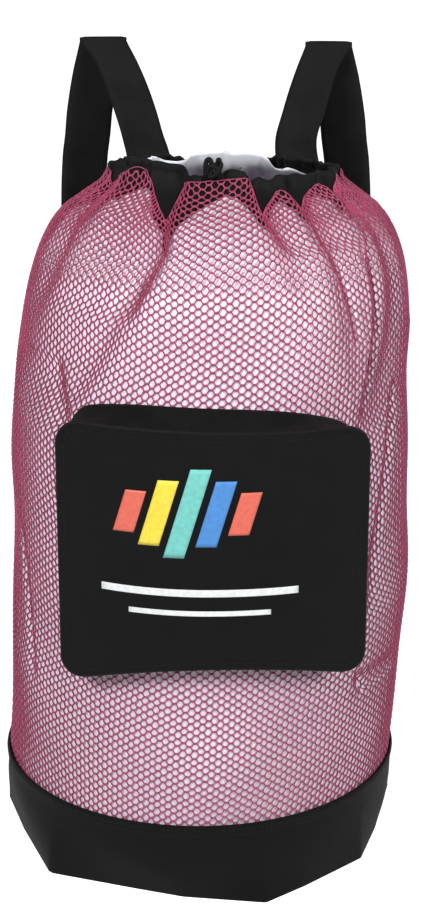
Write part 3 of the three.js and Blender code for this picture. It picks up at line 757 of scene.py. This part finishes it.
# Collar: a gathered band of the same black nylon behind the net's top rows. Its lower edge
# shows dark through the net, and its rim is turned over a channel for the drawcord.
collar_offset = 0.0015 + seam_gap
collar_thickness = 0.002
channel_height = 0.0075
channel_bulge = 0.0018
channel_inner_bulge = 0.0020
channel_seam_drop = 0.0012
rim_turn_in = 0.0022
rim_line = [
    (-150, 0.691), (-124, 0.692), (-100, 0.692), (-79, 0.695), (-55, 0.703), (-42, 0.702),
    (-29, 0.700), (-23, 0.698), (-19.5, 0.691), (-10, 0.692), (0, 0.695), (4, 0.697),
    (10, 0.694), (13.5, 0.687), (18, 0.689), (22, 0.687), (26, 0.691), (35, 0.690),
    (57, 0.689), (76, 0.688), (100, 0.688), (128, 0.688), (150, 0.690), (160, 0.685),
    (180, 0.684), (200, 0.686)]
collar_foot = [
    (-92, 0.645), (-69, 0.664), (-60, 0.667), (-51.5, 0.669), (-49.7, 0.673), (-44.7, 0.678),
    (-39.5, 0.680), (-35.2, 0.676), (-31, 0.667), (-28, 0.660), (-24, 0.652), (-21.5, 0.645),
    (-19.8, 0.630), (-19.2, 0.639), (-18.5, 0.648), (-15.7, 0.656), (-10.7, 0.664),
    (-5.5, 0.671), (-1.5, 0.675), (1.2, 0.676), (3.5, 0.676), (6.5, 0.674), (9.7, 0.669),
    (12.7, 0.662), (14.5, 0.655), (15.8, 0.650), (18, 0.656), (21.2, 0.667), (23.7, 0.670),
    (26.7, 0.671), (28.5, 0.667), (32, 0.660), (34.6, 0.653), (38, 0.662), (41.7, 0.671),
    (47.2, 0.673), (51.5, 0.671), (57, 0.662), (61.6, 0.655), (66, 0.664), (73, 0.672),
    (86, 0.650), (98, 0.662), (112, 0.645), (127, 0.658), (142, 0.645), (158, 0.658),
    (173, 0.643), (188, 0.658), (203, 0.645), (217, 0.658), (232, 0.645), (246, 0.658)]
collar_cloth = woven_cloth(
    "collar_nylon", (0.0054, 0.0056, 0.0057), pitch=0.0011, relief=0.30, roughness=0.60, sheen=0.03)

collar_angles = np.arange(-180.0, 180.0, 0.9)
collar_turn = np.radians(collar_angles)
pucker_depth = 0.0007
pucker = pucker_depth * (np.sin(41 * collar_turn + 1.5 * np.sin(7 * collar_turn))
                         + 0.6 * np.sin(67 * collar_turn + 0.8) - 1.2)
collar_top = round_the_bag(rim_line, collar_angles) + pucker * 0.6
collar_low = round_the_bag(collar_foot, collar_angles)


def collar_ring(height, outward, gather):
    """Points round the collar, puckered as much as it is gathered."""
    dent = net_dent(collar_angles, height)
    return body_point(collar_angles, height, outward + pucker * gather, dent)


outside, inside = -collar_offset, -collar_offset - collar_thickness
collar_out, collar_in = [], []
for share in np.linspace(0.0, 1.0, 15):
    height = collar_low + (collar_top - channel_height - collar_low) * share
    collar_out.append(collar_ring(height, outside, share ** 2))
    collar_in.append(collar_ring(height, inside, share ** 2))
for step in np.linspace(0.0, math.pi / 2, 9)[1:]:
    height = collar_top - channel_height * (1 - math.sin(step))
    rounded = math.sin(2 * step) ** 0.8
    swell = channel_bulge * rounded - rim_turn_in * (1 - math.cos(step))
    collar_out.append(collar_ring(height, outside + swell, 1.2))
    collar_in.append(collar_ring(height, inside - channel_inner_bulge * rounded, 1.2))
collar = cloth_wall("collar_cloth", np.array(collar_out), np.array(collar_in), True, collar_cloth,
                    "collar")

channel_seam = collar_ring(
    collar_top - channel_height - channel_seam_drop, outside + stitch_lift, 1.0)
sewn("collar_stitches", [closed_line(channel_seam)],
     pitch=0.0036, length=0.0026, thread=0.0004)


# Drawcord knot: the two ends of a soft black cord, looped and tied at the front of the rim,
# with a bead on one end. The rest of the cord runs unseen in the collar's channel.
cord_radius = 0.0023
knot_place = np.array([0.0158, -0.0775, 0.6985])
knot_paths = [
    [(-0.0072, 0.001, -0.0085), (-0.0078, -0.0005, -0.001), (-0.0068, -0.001, 0.006),
     (-0.0043, -0.0015, 0.0080), (-0.0022, -0.0012, 0.0045), (-0.0026, -0.001, -0.006)],
    [(-0.0070, -0.0010, -0.0045), (-0.0035, -0.0030, 0.0015), (0.0015, -0.0040, 0.0010),
     (0.0055, -0.0028, -0.0045), (0.0082, -0.0008, -0.0090)],
    [(-0.0045, -0.0020, -0.0085), (0.0005, -0.0038, -0.0065), (0.0048, -0.0040, -0.0015),
     (0.0066, -0.0020, 0.0032), (0.0045, 0.0002, 0.0050), (0.0015, 0.0005, 0.0020)]]


def smooth_path(points, count):
    """Evenly spread places along a smooth line through listed points."""
    points = np.asarray(points, float)
    key = np.arange(len(points), dtype=float)[:, None]
    return through(np.hstack([key, points]), np.linspace(0, len(points) - 1, count))


cord_weave = knit_yarn("black_cord_weave", (0.0060, 0.0064, 0.0062), sheen=0.02, specular=0.12)
cord_steps = 26
bead_radius = 0.0028
bead_half_length = 0.0026
bead_middle = np.array([0.0046, -0.0018, 0.0072])
bead_turn = np.linspace(-1.0, 1.0, 9)
knot_lines = [smooth_path(path, cord_steps) + knot_place for path in knot_paths]
knot_lines.append(
    knot_place + bead_middle + bead_turn[:, None] * np.array([0, 0, bead_half_length]))
knot_thick = [np.full(cord_steps, cord_radius) for _ in knot_paths]
knot_thick.append(bead_radius * np.sqrt(np.clip(1.02 - bead_turn ** 2, 0.02, 1)))
spun("drawcord_loops", knot_lines, knot_thick, 12, cord_weave, "drawcord_knot")


# Liner: a thin white sheet rolled into a tube inside the net, standing on the base panel.
# It is what shows white through the net's holes, and its top edge rises at the mouth's back.
liner_thickness = 0.0012
liner_gap = 0.0018
liner_gap_at_mouth = 0.0115
liner_foot = 0.0034
liner_edge = [
    (-118, 0.680), (-124, 0.688), (-130, 0.6912), (-138, 0.6887), (-146, 0.6835), (-153, 0.682),
    (-156, 0.6843), (-158.5, 0.689), (-163, 0.6905), (-168, 0.6915), (180, 0.6925),
    (165, 0.6915), (160, 0.6895), (156, 0.6868), (154, 0.6845), (152, 0.680), (150, 0.676),
    (148, 0.6745), (144, 0.6752), (140, 0.6772), (136, 0.674), (132, 0.669), (105, 0.668),
    (80, 0.655), (50, 0.655), (20, 0.655), (0, 0.665), (-25, 0.640), (-45, 0.672), (-70, 0.664),
    (-100, 0.675)]
liner_draw_height = 0.59
liner_draw_rise = 0.05
liner_wave = 0.0005
liner_tuck = 0.004
tuck_angle = 150
tuck_spread = 4.0
liner_angles = np.arange(-180.0, 180.0, 1.0)
liner_top = np.maximum(round_the_bag(liner_edge, liner_angles),
                       round_the_bag(collar_foot, liner_angles) + 0.007)


def liner_face(share, outward):
    """Points round the liner at a share of its height, drawn in from the net at the mouth."""
    height = liner_foot + (liner_top - liner_foot) * share
    along = np.radians(liner_angles) * body_half_width
    t = risen(height, liner_draw_height, liner_draw_rise)
    gap = (liner_gap_at_mouth - liner_gap) * t * t * (3 - 2 * t)
    drawn = net_dent(liner_angles, height) + gap
    waves = liner_wave * (1.0 + ripple(along, height, pitch=0.13, seed=47))
    waves = waves * risen(share, 0.0, 0.125)
    tuck = liner_tuck * np.exp(-((liner_angles - tuck_angle) / tuck_spread) ** 2)
    outward = outward - waves - tuck * risen(share, 0.93, 0.07)
    points = body_point(liner_angles, height, outward, drawn)
    points[:, 2] = height
    return points


liner_rows = np.concatenate([np.linspace(0, 0.8, 41), np.linspace(0.81, 1.0, 34)])
liner_outer = np.array([liner_face(share, -liner_gap) for share in liner_rows])
liner_inner = np.array([liner_face(share, -liner_gap - liner_thickness) for share in liner_rows])

# Under the net, up to the mouth, the white is multiplied by a pale pink: painted light, the net's
# crimson bounced onto the sheet, not a tint of the sheet itself.
liner_sheet, liner_tree, liner_shader = new_material("white_liner")
liner_place = own_place(liner_tree)
liner_mottle = noise(liner_tree, liner_place, 9.0, 5.0)
liner_white = ramp(liner_tree, liner_mottle, (0.3, (0.76, 0.78, 0.84)), (0.7, (0.84, 0.85, 0.89)))
liner_height = add_node(liner_tree, "ShaderNodeSeparateXYZ", {"Vector": liner_place})
liner_bounce_share = add_node(liner_tree, "ShaderNodeMapRange", {
    "Value": liner_height.outputs["Z"], "From Min": 0.672, "From Max": 0.655})
# Painted bounce light: a pale pink multiplied into the white below the mouth.
liner_bounce_pink = add_node(liner_tree, "ShaderNodeMix", {
    "Factor": liner_bounce_share.outputs["Result"], "A": liner_white, "B": (1.0, 0.87, 0.96, 1)},
    data_type="RGBA", blend_type="MULTIPLY")
fill(liner_tree, liner_shader, {
    "Base Color": liner_bounce_pink.outputs["Result"], "Roughness": 0.5,
    "Normal": bump(liner_tree, liner_mottle, 0.5, 0.006)})
liner = cloth_wall("liner_sheet", liner_outer, liner_inner, True, liner_sheet,
                   "inner_liner")


# Pocket: a black woven panel with rounded corners that wraps the bag's front. A strip sewn
# round its edge holds it off the net, piping covers that seam, and the top strip slopes
# back to the net. A plain printed motif sits in its middle.
pocket_width = 0.284
pocket_height = 0.257
pocket_top = 0.490
pocket_centre = 0.015
pocket_arch = 0.024
pocket_top_fall = 0.006
pocket_foot_rise = 0.006
pocket_corner = 0.024
pocket_standoff = 0.036
pocket_bend = 0.260
pocket_puff = 0.007
pocket_rise = 0.015
pocket_rise_sag = 0.023
pocket_rise_shift = 0.014
pocket_taper = 0.94
pocket_thickness = 0.002
pocket_wave = 0.0007
strip_wave = 0.0026
strip_tension = 0.0010
piping_radius = 0.0017
piping_set_back = 0.0016
pocket_seam_inset = 0.0065
pocket_seam_lift = 0.0002
pocket_cloth = woven_cloth(
    "pocket_polyester", (0.0040, 0.0042, 0.0043), pitch=0.0012, relief=0.35, roughness=0.75, sheen=0.01)
strip_cloth = woven_cloth(
    "pocket_strip_polyester", (0.0046, 0.0048, 0.0049),
    pitch=0.0012, relief=0.35, roughness=0.75, sheen=0.01)


def body_front(x, height):
    """How far forward the bag's plain form reaches at a place across and a height."""
    wide, deep, lean = np.moveaxis(through(sections, np.asarray(height) / rim_height), -1, 0)
    across = (x - lean * rim_lean) / (wide * body_half_width)
    return -deep * body_half_depth * np.sqrt(np.clip(1 - across ** 2, 0, 1))


def pocket_span(x):
    """Heights of the panel's lower and upper edge, x from its middle."""
    rightward = x / pocket_width + 0.5
    low = (pocket_top - pocket_height + pocket_foot_rise * rightward
           + pocket_arch * (1 - (2 * x / pocket_width) ** 2))
    return low, pocket_top - pocket_top_fall * rightward


def half_across(up):
    """Half the panel's width, which its rounded corners narrow near both edges."""
    edge = np.minimum(up, 1 - up) * pocket_height
    short = np.maximum(pocket_corner - edge, 0)
    return pocket_width / 2 - pocket_corner + np.sqrt(
        np.maximum(pocket_corner ** 2 - short ** 2, 0))


def pocket_point(across, up, proud=0.0):
    """Points of the panel's face: across from -1 to 1, up from 0 to 1."""
    across, up = np.broadcast_arrays(np.asarray(across, float), np.asarray(up, float))
    x = half_across(up) * across
    low, high = pocket_span(x)
    z = low + (high - low) * up
    middle = body_front(pocket_centre, pocket_top - pocket_height / 2) - pocket_standoff
    crown = pocket_puff * (1 - across ** 4) * (1 - (2 * up - 1) ** 4)
    y = middle + x * x / (2 * pocket_bend) + pocket_puff - crown
    inner = (1 - across ** 6) * (1 - (2 * up - 1) ** 6)
    y = y + pocket_wave * ripple(x, z, pitch=0.12, seed=61) * inner - proud
    return np.stack([pocket_centre + x, y, z], -1)


def eased(start, end, count):
    """Steps from start to end that grow finer toward both ends."""
    turn = np.sin(np.linspace(-math.pi / 2, math.pi / 2, count))
    return start + (end - start) * (turn + 1) / 2


grid_across, grid_up = np.meshgrid(eased(-1, 1, 73), eased(0, 1, 61))
panel_outer = pocket_point(grid_across, grid_up)
panel_inner = panel_outer + np.array([0.0, pocket_thickness, 0.0])
pocket_panel = cloth_wall("pocket_panel", panel_outer, panel_inner, False, pocket_cloth,
                          "pocket_front")


def inward(loop):
    """Directions across a loop toward its inside, seen from the front."""
    along = np.roll(loop, -1, 0) - np.roll(loop, 1, 0)
    along[:, 1] = 0
    along /= np.maximum(np.linalg.norm(along, axis=1, keepdims=True), 1e-9)
    return np.stack([-along[:, 2], 0 * along[:, 0], along[:, 0]], 1)


def pocket_outline(inset=0.0, proud=0.0, count=60):
    """Points round the panel's edge, or a parallel line inside it."""
    side, rise = np.linspace(-1, 1, count), eased(0, 1, count)
    loop = np.concatenate([
        pocket_point(side, 0, proud)[:-1], pocket_point(1, rise, proud)[:-1],
        pocket_point(side[::-1], 1, proud)[:-1], pocket_point(-1, rise[::-1], proud)[:-1]])
    if inset:
        loop = loop + inward(loop) * inset
        for _ in range(6):
            loop = (np.roll(loop, 1, 0) + 2 * loop + np.roll(loop, -1, 0)) / 4
        loop = on_panel(loop[:, 0], loop[:, 2], proud, rounded=True)
    return closed_line(loop)


def on_panel(x, z, proud, rounded=False):
    """Points of the panel's face at a place across and a height."""
    flat_x = x - pocket_centre
    low, high = pocket_span(flat_x)
    up = (z - low) / (high - low)
    half = half_across(up) if rounded else pocket_width / 2
    return pocket_point(flat_x / half, up, proud)


piping_line = pocket_outline() + np.array([0, piping_set_back, 0])
spun("pocket_piping", [piping_line], [np.full(len(piping_line), piping_radius)], 8, cord_weave)
sewn("pocket_stitches", [pocket_outline(pocket_seam_inset, pocket_seam_lift)],
     pitch=0.0040, length=0.0029, thread=0.00045)

rim_loop = pocket_outline()[:-1]
loop_inward = inward(rim_loop)


def strip_end(points):
    """Where the strip meets the net, behind points of the panel's edge."""
    x = pocket_centre + (points[:, 0] - pocket_centre) * pocket_taper
    share = np.maximum((points[:, 2] - pocket_top + pocket_height / 2) / (pocket_height / 2), 0)
    level = np.abs(points[:, 0] - pocket_centre + pocket_rise_shift) / (pocket_width / 2)
    rise = pocket_rise - pocket_rise_sag * level ** 3
    z = points[:, 2] + rise * share ** 2
    return np.stack([x, body_front(x, z) - seam_gap, z], 1)


strip_start_outer = rim_loop + np.array([0, pocket_thickness + seam_gap, 0])
strip_start_inner = strip_start_outer + loop_inward * pocket_thickness
strip_end_outer = strip_end(rim_loop)
strip_end_inner = strip_end(rim_loop + loop_inward * pocket_thickness)
round_strip = walked(np.linalg.norm(np.diff(rim_loop, axis=0), axis=1))
strip_outer, strip_inner = [], []
for share in np.linspace(0.0, 1.0, 11):
    belly = math.sin(share * math.pi)
    waves = strip_wave * ripple(round_strip, share * 0.04, pitch=0.055, seed=71)
    push = (waves - strip_tension) * belly
    for faces, start, end in ((strip_outer, strip_start_outer, strip_end_outer),
                              (strip_inner, strip_start_inner, strip_end_inner)):
        faces.append(start + (end - start) * share - loop_inward * push[:, None])
pocket_strip = cloth_wall(
    "pocket_strip", np.array(strip_outer)[::-1], np.array(strip_inner)[::-1], True, strip_cloth,
    "pocket_gusset")


# Printed motif: slanted bars of flat colour over two thin white lines, in screen-print ink
# on the pocket's middle.
bar_colours = [(0.70, 0.13, 0.085), (0.86, 0.66, 0.05), (0.16, 0.55, 0.50), (0.06, 0.24, 0.60),
               (0.70, 0.13, 0.085)]
bar_heights = [0.040, 0.062, 0.084, 0.062, 0.040]
bar_width = 0.019
bar_gap = 0.007
bar_slant = 0.30
bar_middle = (-0.008, 0.414)
line_middle = (0.003, 0.338)
white_ink = (0.80, 0.81, 0.82)
ink_height = 0.00035
ink_depth = 0.0002

# Drop, width and height of each white line.
white_lines = [(0.0, 0.180, 0.007), (0.020, 0.130, 0.005)]


def print_ink(name, shade):
    """Flat screen-print ink with a fine grain."""
    ink, tree, shader = new_material(name)
    grain = noise(tree, own_place(tree), 260.0)
    fill(tree, shader, {
        "Base Color": ramp(tree, grain, (0.35, shaded(shade, 0.86, 0.86, 0.86)), (0.65, shade)),
        "Roughness": 0.5, "Normal": bump(tree, grain, 0.15, 0.0003)})
    return ink


def printed(name, middle, wide, tall, slant, shade, columns):
    """A slanted patch of ink that follows the panel."""
    across, up = np.meshgrid(np.linspace(-0.5, 0.5, columns), np.linspace(-0.5, 0.5, 17))
    z = middle[1] + up * tall
    x = middle[0] + across * wide + up * tall * slant
    cloth_wall(name, on_panel(x, z, ink_height), on_panel(x, z, -ink_depth), False,
               print_ink(name + "_ink", shade))


bar_pitch = bar_width + bar_gap
first_bar = bar_middle[0] - (len(bar_colours) - 1) / 2 * bar_pitch
for i, (colour, tall) in enumerate(zip(bar_colours, bar_heights)):
    printed(f"print_bar_{i + 1}", (first_bar + i * bar_pitch, bar_middle[1]), bar_width, tall,
            bar_slant, colour, 9)
for i, (drop, wide, tall) in enumerate(white_lines):
    printed(f"print_line_{i + 1}", (line_middle[0], line_middle[1] - drop), wide, tall,
            0.0, white_ink, 33)


# Shoulder straps: black nylon folded flat and sewn along both edges. Each rises from the
# back of the collar, turns over in a flat fold and comes down the bag's back to the band.
strap_width = 0.047
strap_top = 0.797
strap_dip = 0.005
strap_spread = 0.685 * body_half_width
strap_centre = 0.018
strap_set_back = 0.746 * body_half_depth
strap_fold = 0.0026
strap_thickness = 0.003
strap_slack = 0.0019
strap_hem = 0.026
strap_collar_angle = 140.0
strap_body_angle = 137.0
strap_rise_width = 0.90
strap_wave = 0.0006
strap_step = 0.006

# Each side's way up and the way down, row by row: share of the straps' spread, of their set
# back and of their top, and how far the strap is turned outward, in degrees.
strap_rises = {
    -1: [(0.532, 0.520, 0.886, 16), (0.583, 0.600, 0.913, 9), (0.647, 0.690, 0.942, 4),
         (0.722, 0.753, 0.970, 0)],
    1: [(0.576, 0.520, 0.886, 16), (0.625, 0.600, 0.913, 9), (0.680, 0.690, 0.942, 4),
        (0.740, 0.753, 0.970, 0)]}
strap_return = [(0.881, 0.887, 0.952, 0), (0.932, 0.933, 0.905, 0), (0.953, 0.960, 0.873, 2),
                (0.978, 0.980, 0.842, 5), (1.000, 1.000, 0.780, 14), (1.005, 1.010, 0.690, 28),
                (1.005, 1.010, 0.590, 40)]
strap_crest = (0.817, 0.817)
strap_on_collar = [0.950, 0.966, 0.982]
strap_on_body = [0.60, 0.50, 0.40, 0.30, 0.20]
strap_cloth = woven_cloth(
    "strap_nylon", (0.0056, 0.0057, 0.0061), pitch=0.0010, relief=0.35, roughness=0.60, sheen=0.03)


def strap_rows(side, dip):
    """Left edge, middle and right edge of the strap's mid-plane, row by row."""
    rows = []

    def seated(angle, height, outward):
        reach = np.linalg.norm(body_point(angle + 1, height, 0.0, 0.0)
                               - body_point(angle - 1, height, 0.0, 0.0))
        half = strap_width / reach
        rows.append([body_point(angle + edge * half, height, outward + strap_thickness / 2, 0.0)
                     for edge in (1, 0, -1)])

    for share in strap_on_collar:
        seated(side * strap_collar_angle, share * rim_height, seam_gap + strap_slack)
    def across(x, y, z, turn, width):
        level = math.radians(-side * turn)
        sideways = np.array([math.cos(level), math.sin(level), 0.0])
        rows.append([np.array([x, y, z]) + sideways * edge * strap_width * width
                     for edge in (-0.5, 0.0, 0.5)])

    def free(table, width):
        for out, back, up, turn in table:
            across(strap_centre + side * out * strap_spread, back * strap_set_back,
                   up * strap_top - dip, turn, width)

    free(strap_rises[side], strap_rise_width)
    for step in np.linspace(0.0, math.pi, 5):
        across(strap_centre + side * strap_crest[0] * strap_spread,
               strap_crest[1] * strap_set_back - strap_fold * math.cos(step),
               strap_top - dip - strap_thickness / 2 - strap_fold * (1 - math.sin(step)), 0.0, 1.0)
    free(strap_return, 1.0)
    for share in strap_on_body:
        seated(side * strap_body_angle, share * rim_height, seam_gap)
    for height in (band_height + strap_thickness, band_height / 2, strap_hem):
        seated(side * strap_body_angle, height, seam_gap + band_thickness + strap_slack)
    return np.array(rows, float)


def strap(name, side, dip, node):
    """One strap along its rows, with its edges rounded and its stitching."""
    rows = strap_rows(side, dip)
    far = walked(np.linalg.norm(np.diff(rows[:, 1], axis=0), axis=1))
    table = np.hstack([far[:, None], rows.reshape(len(rows), 9)])
    fine = [np.linspace(a, b, max(int((b - a) / strap_step), 4), endpoint=False)
            for a, b in zip(far[:-1], far[1:])]
    fine = np.concatenate(fine + [far[-1:]])
    lines = through(table, fine).reshape(-1, 3, 3)
    share = np.linspace(-1.0, 1.0, 11)
    weight = np.stack([share * (share - 1) / 2, 1 - share ** 2, share * (share + 1) / 2])
    sheet = sum(lines[:, i][:, None] * weight[i][None, :, None] for i in range(3))
    normal = np.cross(np.gradient(sheet, axis=1), np.gradient(sheet, axis=0))
    normal /= np.linalg.norm(normal, axis=2, keepdims=True)
    edge_round = np.sqrt(np.clip(1 - np.abs(share) ** 6, 0.10, 1))
    soft = strap_wave * ripple(fine[:, None], share[None, :] * 0.02, pitch=0.09, seed=80 + side)
    waist = np.sin(risen(fine, 0.02, 0.10) * math.pi / 2)[:, None]
    half = (strap_thickness / 2 * edge_round)[None, :, None]
    moved = sheet + normal * (soft * waist)[..., None]
    outer, inner = moved + normal * half, moved - normal * half
    made = cloth_wall(name, outer, inner, False, strap_cloth, node)
    seams = [face[:, edge] * 0.75 + face[:, beside] * 0.25
             for edge, beside in ((1, 2), (9, 8)) for face in (outer, inner)]
    sewn(name + "_stitches", seams,
         pitch=0.0044, length=0.0032, thread=0.00042)


strap("strap_left_cloth", -1, 0.0, "strap_left")
strap("strap_right_cloth", 1, strap_dip, "strap_right")
